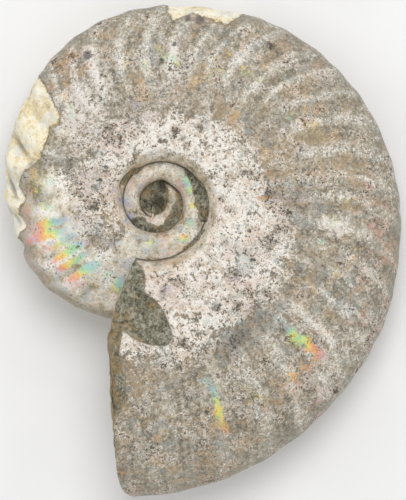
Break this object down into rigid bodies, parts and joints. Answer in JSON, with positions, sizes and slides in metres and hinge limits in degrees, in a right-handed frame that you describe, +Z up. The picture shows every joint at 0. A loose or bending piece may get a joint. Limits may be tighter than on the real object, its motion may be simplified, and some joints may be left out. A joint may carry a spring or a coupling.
{
  "type": "ammonite fossil",
  "caption": "Coiled ammonite shell fossil, flattened, with a small open centre, fine ribs, nacre and a broken mouth filled with rock.",
  "frame": {"origin": "under the middle of the shell, on the surface that it rests on", "axes": "+Z up, from the lower flank to the upper; +Y away from the edge of the broken mouth, along the longest width of the shell; +X across it, away from the mouth's opening"},
  "size_m": [0.0682, 0.0835, 0.0231],
  "materials": {
    "nacre_and_rock": "worn nacre, greyish cream with iridescent patches, over olive-grey rock"
  },
  "bodies": {
    "root": {"ammonite_fossil": "nacre_and_rock"}
  },
  "joints": []
}
